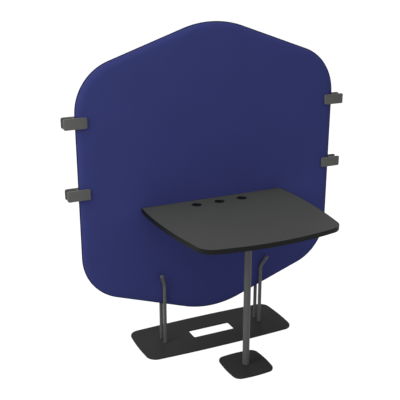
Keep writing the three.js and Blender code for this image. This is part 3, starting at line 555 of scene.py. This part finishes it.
def pad_section(settings):
    """Rings from the middle of the pocket to the middle of the face, as columns of inset, shrink and depth,
    and the number of the ring where the roll starts. The roll is a quarter of a superellipse, so that it
    slants like stretched cloth; the face rises by the crown along a quarter of a sine."""
    face = settings.thickness / 2 - FACE_CLEARANCE - settings.swell
    margin = face - settings.crown
    welt = settings.welt_radius
    # The cloth goes round the welt: behind it, past its shoulder and up to the lip where the roll starts
    behind, shoulder = (2 * welt + 0.3 * MM, 1, HALF_SEAM_GAP), (1.65 * welt, 1, 0.82 * welt)
    lip, lip_depth = welt + 0.5 * MM, welt + 0.2 * MM
    pocket = np.array([
        *((POCKET_INSET, share, POCKET_DEPTH) for share in POCKET_SHARES),
        (POCKET_INSET, 1, HALF_SEAM_GAP), behind, shoulder])
    turn = np.linspace(0, math.pi / 2, ROLL_ROWS)
    power = 2 / ROLL_POWER
    roll = np.stack([
        lip + (settings.roll - lip) * (1 - np.clip(np.cos(turn), 0, 1) ** power), np.ones(ROLL_ROWS),
        lip_depth + (margin - lip_depth) * np.sin(turn) ** power], -1)
    rise = np.linspace(0, 1, CROWN_ROWS + 1)[1:]
    crown = np.stack([
        settings.roll + settings.crown_width * rise, np.ones(CROWN_ROWS),
        margin + settings.crown * np.sin(rise * math.pi / 2)], -1)
    shrink = np.linspace(1, HUB_SHARE, MIDDLE_ROWS + 1)[1:]
    middle = np.stack([np.full(MIDDLE_ROWS, crown[-1, 0]), shrink, np.full(MIDDLE_ROWS, face)], -1)
    return np.vstack([pocket, roll, crown, middle]), len(pocket)


def pad_points(settings, side, section):
    """Each ring is the outline moved in along its normals by the inset and then shrunk towards the middle;
    side is -1 for the pad that faces the desk and 1 for the one behind. The two hubs come last."""
    outline, normals = screen_outline(settings, PAD_POINTS)
    inset, shrink, depth = (section[:, k][:, None] for k in range(3))
    flat = (outline[None] - normals[None] * inset[..., None]) * shrink[..., None]
    across = np.broadcast_to(side * depth, flat.shape[:2])
    points = np.stack([-side * flat[..., 0], SCREEN_PLANE + across, SCREEN_MIDDLE + flat[..., 1]], -1)
    hubs = points[[0, -1]].mean(1)
    return np.vstack([points.reshape(-1, 3), hubs])


def pad_pattern(settings, section, sewn):
    """The place of each point on the cloth before it is rolled over the edge: up to the face, the length
    along the section takes the place of the inset. The two hubs lie in the middle."""
    outline, normals = screen_outline(settings, PAD_POINTS)
    step = np.linalg.norm(np.diff(section[:, [0, 2]], axis=0), axis=1)
    walked = np.concatenate([[0], np.cumsum(step)])
    face = sewn + ROLL_ROWS - 1
    rolled = settings.roll - (walked[face] - walked)
    unrolled = np.where(np.arange(len(section)) < face, rolled, section[:, 0])
    flat = (outline[None] - normals[None] * unrolled[:, None, None]) * section[:, 1][:, None, None]
    return np.vstack([flat.reshape(-1, 2), np.zeros((2, 2))])


def fill_with_foam(piece, settings, section, sewn):
    """Blows the cloth up against its seam with the foam's pressure, and then lets no point move farther than
    the swell: the move's length becomes swell * tanh(length / swell). The pocket, the seam and the middle of
    the face are pinned, and the move fades in from the middle to the edge."""
    ring = np.repeat(np.arange(len(section)), PAD_POINTS)
    share = section[ring, 1]
    pinned = np.append((ring <= sewn) | (share < STILL_SHARE), [True, True])
    window = np.append(np.clip((share - STILL_SHARE) / FADE_SHARE, 0, 1) * (ring > sewn), [0, 0])
    scene = bpy.context.scene
    start = np.empty(len(piece.data.vertices) * 3)
    piece.data.vertices.foreach_get("co", start)
    start = start.reshape(-1, 3)
    pins = piece.vertex_groups.new(name="sewn")
    pins.add(np.flatnonzero(pinned).tolist(), 1.0, "REPLACE")
    cloth = piece.modifiers.new("foam_pressure", "CLOTH")
    cloth.settings.quality = 6
    cloth.settings.mass = 0.3
    cloth.settings.tension_stiffness = 25
    cloth.settings.compression_stiffness = 25
    cloth.settings.shear_stiffness = 12
    cloth.settings.bending_stiffness = 1.5
    cloth.settings.use_pressure = True
    cloth.settings.uniform_pressure_force = settings.pressure
    cloth.settings.vertex_group_mass = pins.name
    cloth.settings.effector_weights.gravity = 0
    cloth.collision_settings.use_collision = False
    cloth.collision_settings.use_self_collision = False
    cloth.point_cache.frame_start = 1
    cloth.point_cache.frame_end = CLOTH_FRAMES
    for step in range(1, CLOTH_FRAMES + 1):
        scene.frame_set(step)
    filled = np.empty_like(start).ravel()
    settled = piece.evaluated_get(bpy.context.evaluated_depsgraph_get())
    settled.data.vertices.foreach_get("co", filled)
    piece.modifiers.remove(cloth)
    piece.vertex_groups.remove(pins)
    scene.frame_set(1)
    move = filled.reshape(-1, 3) - start
    length = np.linalg.norm(move, axis=1, keepdims=True) + LEAST_MOVE
    move *= settings.swell * np.tanh(length / settings.swell) / length * window[:, None]
    piece.data.vertices.foreach_set("co", (start + move).ravel())
    piece.data.update()


class PaddingOperator(bpy.types.Operator):
    """Upholster both faces of the screen with cloth over foam"""
    bl_idname = "desk_screen.padding"
    bl_label = "Screen padding"

    def execute(self, context):
        settings = context.scene.screen_settings
        section, sewn = pad_section(settings)
        faces = capped_faces(len(section), PAD_POINTS)
        pattern = pad_pattern(settings, section, sewn)
        for side, name in ((-1, "front"), (1, "back")):
            points = pad_points(settings, side, section)
            piece = make_piece(
                f"screen_padding_{name}", points, faces, STAND, finishes()["cloth"])
            lay_pattern(piece, pattern)
            fill_with_foam(piece, settings, section, sewn)
            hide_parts(f"screen_{name}_pad")
        dress("screen_core", "board")
        return {"FINISHED"}


class WeltOperator(bpy.types.Operator):
    """Sew the piping into the seam round the screen's edge"""
    bl_idname = "desk_screen.welt"
    bl_label = "Seam welt"

    def execute(self, context):
        settings = context.scene.screen_settings
        outline, normals = screen_outline(settings, WELT_POINTS)
        # A circle carried along the outline: out along the edge's normal by the cosine, across by the sine
        turn = np.linspace(0, math.tau, WELT_SIDES, endpoint=False)[None, :]
        out = settings.welt_radius * (np.cos(turn) - 1)
        flat = outline[:, None] + normals[:, None] * out[..., None]
        across = np.broadcast_to(settings.welt_radius * np.sin(turn), flat.shape[:2])
        points = np.stack([flat[..., 0], SCREEN_PLANE + across, SCREEN_MIDDLE + flat[..., 1]], -1)
        points = points.reshape(-1, 3)
        faces = grid_faces(WELT_POINTS, WELT_SIDES, True)
        piece = make_piece("screen_seam_welt", points, faces, STAND, finishes()["welt"])
        lay_pattern(piece, points[:, [0, 2]])
        return {"FINISHED"}


# Hard pieces

class PlatesOperator(bpy.types.Operator):
    """Finish the base plate, the foot plate and their glides"""
    bl_idname = "desk_screen.plates"
    bl_label = "Plates and glides"

    def execute(self, context):
        radius = context.scene.desk_settings.edge_radius
        dress("base_plate", "plate", radius)
        dress("foot_plate", "plate", radius)
        dress("base_glide", "rubber", radius)
        dress("foot_glide", "rubber", radius)
        return {"FINISHED"}


class TubesOperator(bpy.types.Operator):
    """Finish the screen's rods and the desk's leg"""
    bl_idname = "desk_screen.tubes"
    bl_label = "Rods and leg"

    def execute(self, context):
        dress("support_rod", "tube")
        dress("leg_tube", "tube")
        dress("leg_top_flange", "plate")
        dress("leg_foot_plug", "zinc")
        dress("spacer_sleeve", "zinc")
        return {"FINISHED"}


class DeskTopOperator(bpy.types.Operator):
    """Finish the desk top's board, sheets and edge band, and the brackets below it"""
    bl_idname = "desk_screen.desk_top"
    bl_label = "Desk top"

    def execute(self, context):
        dress("desktop_board", "board")
        dress("desktop_surface_sheet", "laminate")
        dress("desktop_backing_sheet", "backing")
        dress("desktop_edge_band", "band", context.scene.desk_settings.edge_radius)
        dress("desk_bracket", "plate")
        return {"FINISHED"}


class GrommetsOperator(bpy.types.Operator):
    """Finish the three cable grommets"""
    bl_idname = "desk_screen.grommets"
    bl_label = "Cable grommets"

    def execute(self, context):
        dress("grommet_liner", "grommet")
        dress("grommet_cap", "grommet")
        return {"FINISHED"}


class ClipsOperator(bpy.types.Operator):
    """Finish the four clips that link the next screen"""
    bl_idname = "desk_screen.clips"
    bl_label = "Link clips"

    def execute(self, context):
        dress("link_clip", "clip", context.scene.desk_settings.edge_radius)
        return {"FINISHED"}


class FastenersOperator(bpy.types.Operator):
    """Finish the bolts and screws"""
    bl_idname = "desk_screen.fasteners"
    bl_label = "Bolts and screws"

    def execute(self, context):
        for prefix in ("clamp_bolt", "rod_foot_screw", "leg_foot_bolt", "leg_flange_screw", "bracket_"):
            dress(prefix, "zinc")
        return {"FINISHED"}


# Stage

def white_to_the_eye(tree):
    """One for rays from the camera, from mirrors and through glass, zero for the light on the object."""
    path = add(tree, "ShaderNodeLightPath")
    seen = path.outputs["Is Camera Ray"]
    for ray in ("Is Glossy Ray", "Is Transmission Ray"):
        seen = add(tree, "ShaderNodeMath", {0: seen, 1: path.outputs[ray]}, operation="MAXIMUM").outputs[0]
    return seen


def pale_floor_paint(name):
    """Matt pale paint on a smooth floor. It gives the eye a white ground that still holds a soft shadow."""
    material = bpy.data.materials.new(name)
    material.use_nodes = True
    tree = material.node_tree
    tree.nodes.clear()
    paint = add(tree, "ShaderNodeBsdfDiffuse", {"Color": linear("B0B0B0")})
    # The glow takes the place of most of the paint, and is as much above one as makes both together white
    glow = add(tree, "ShaderNodeEmission", {"Color": linear("FFFFFF"), "Strength": 1.25})
    share = add(tree, "ShaderNodeMath", {0: white_to_the_eye(tree), 1: 0.78}, operation="MULTIPLY")
    mixed = add(tree, "ShaderNodeMixShader", {0: share.outputs[0], 1: paint.outputs[0], 2: glow.outputs[0]})
    add(tree, "ShaderNodeOutputMaterial", {"Surface": mixed.outputs[0]})
    return material


def lay_floor(radius):
    """A round floor whose rim is a circle about the origin."""
    turn = np.linspace(0, math.tau, FLOOR_SIDES, endpoint=False)
    rim = radius * np.stack([np.cos(turn), np.sin(turn), np.zeros(FLOOR_SIDES)], -1)
    mesh = bpy.data.meshes.new("floor")
    mesh.from_pydata(rim.tolist(), [], [list(range(FLOOR_SIDES))])
    mesh.materials.append(pale_floor_paint("matt_floor_paint_white"))
    floor = bpy.data.objects.new("floor", mesh)
    bpy.context.scene.collection.objects.link(floor)


def studio_room(level):
    """A world that lights the object at a level from all round and that the eye sees as white."""
    world = bpy.data.worlds.new("studio_room")
    world.use_nodes = True
    tree = world.node_tree
    tree.nodes.clear()
    room = add(tree, "ShaderNodeBackground", {"Color": linear("FFFFFF"), "Strength": level})
    white = add(tree, "ShaderNodeBackground", {"Color": linear("FFFFFF"), "Strength": 1.0})
    mixed = add(
        tree, "ShaderNodeMixShader", {0: white_to_the_eye(tree), 1: room.outputs[0], 2: white.outputs[0]})
    add(tree, "ShaderNodeOutputWorld", {"Surface": mixed.outputs[0]})
    return world


def add_lamp(name, place, size, power):
    """A square area lamp that shines at the middle of the object."""
    data = bpy.data.lights.new(name, "AREA")
    data.size = size
    data.energy = power
    lamp = bpy.data.objects.new(name, data)
    bpy.context.scene.collection.objects.link(lamp)
    lamp.location = SCREEN_FOOT + Vector(place)
    beam = Vector(LAMP_AIM) - Vector(place)
    lamp.rotation_euler = beam.to_track_quat("-Z", "Y").to_euler()


def photo_camera(settings):
    """A camera at the photograph's place, turned by the azimuth and tilted down by the elevation."""
    data = bpy.data.cameras.new("photo_camera")
    data.sensor_width = SENSOR_WIDTH_MM
    data.lens = settings.lens
    data.clip_end = CAMERA_REACH
    camera = bpy.data.objects.new("photo_camera", data)
    bpy.context.scene.collection.objects.link(camera)
    azimuth, elevation = settings.azimuth, settings.elevation
    level = math.cos(elevation)
    back = Vector((math.sin(azimuth) * level, -math.cos(azimuth) * level, math.sin(elevation)))
    camera.location = SCREEN_FOOT + Vector(settings.place)
    camera.rotation_euler = (-back).to_track_quat("-Z", "Y").to_euler()
    return camera


class StageOperator(bpy.types.Operator):
    """Set up the floor, the light and the camera"""
    bl_idname = "desk_screen.stage"
    bl_label = "Stage"

    def execute(self, context):
        scene = context.scene
        settings = scene.stage_settings
        lay_floor(settings.floor_radius)
        scene.world = studio_room(settings.world_level)
        for name, (place, size, power) in LAMPS.items():
            add_lamp(name, place, size, power)
        scene.camera = photo_camera(settings)
        scene.view_settings.view_transform = "Standard"
        return {"FINISHED"}


OPERATORS = (
    StageOperator, PaddingOperator, WeltOperator, PlatesOperator, TubesOperator, DeskTopOperator,
    GrommetsOperator, ClipsOperator, FastenersOperator)


class DeskScreenPanel(bpy.types.Panel):
    """Settings and pieces of the desk with its screen"""
    bl_idname = "VIEW3D_PT_desk_screen"
    bl_label = "Desk with Privacy Screen"
    bl_space_type = "VIEW_3D"
    bl_region_type = "UI"
    bl_category = "Desk Screen"

    def draw(self, context):
        for group, settings_name in GROUPS.items():
            settings = getattr(context.scene, settings_name)
            box = self.layout.box()
            for name in group.__annotations__:
                box.prop(settings, name)
        for operator in OPERATORS:
            self.layout.operator(operator.bl_idname)


def register():
    for group, name in GROUPS.items():
        bpy.utils.register_class(group)
        setattr(bpy.types.Scene, name, PointerProperty(type=group))
    for cls in (*OPERATORS, DeskScreenPanel):
        bpy.utils.register_class(cls)


def unregister():
    for cls in reversed((*OPERATORS, DeskScreenPanel)):
        bpy.utils.unregister_class(cls)
    for group, name in reversed(GROUPS.items()):
        delattr(bpy.types.Scene, name)
        bpy.utils.unregister_class(group)


def main():
    register()
    bpy.ops.desk_screen.stage()
    bpy.ops.desk_screen.padding()
    bpy.ops.desk_screen.welt()
    bpy.ops.desk_screen.plates()
    bpy.ops.desk_screen.tubes()
    bpy.ops.desk_screen.desk_top()
    bpy.ops.desk_screen.grommets()
    bpy.ops.desk_screen.clips()
    bpy.ops.desk_screen.fasteners()


if __name__ == "__main__":
    main()
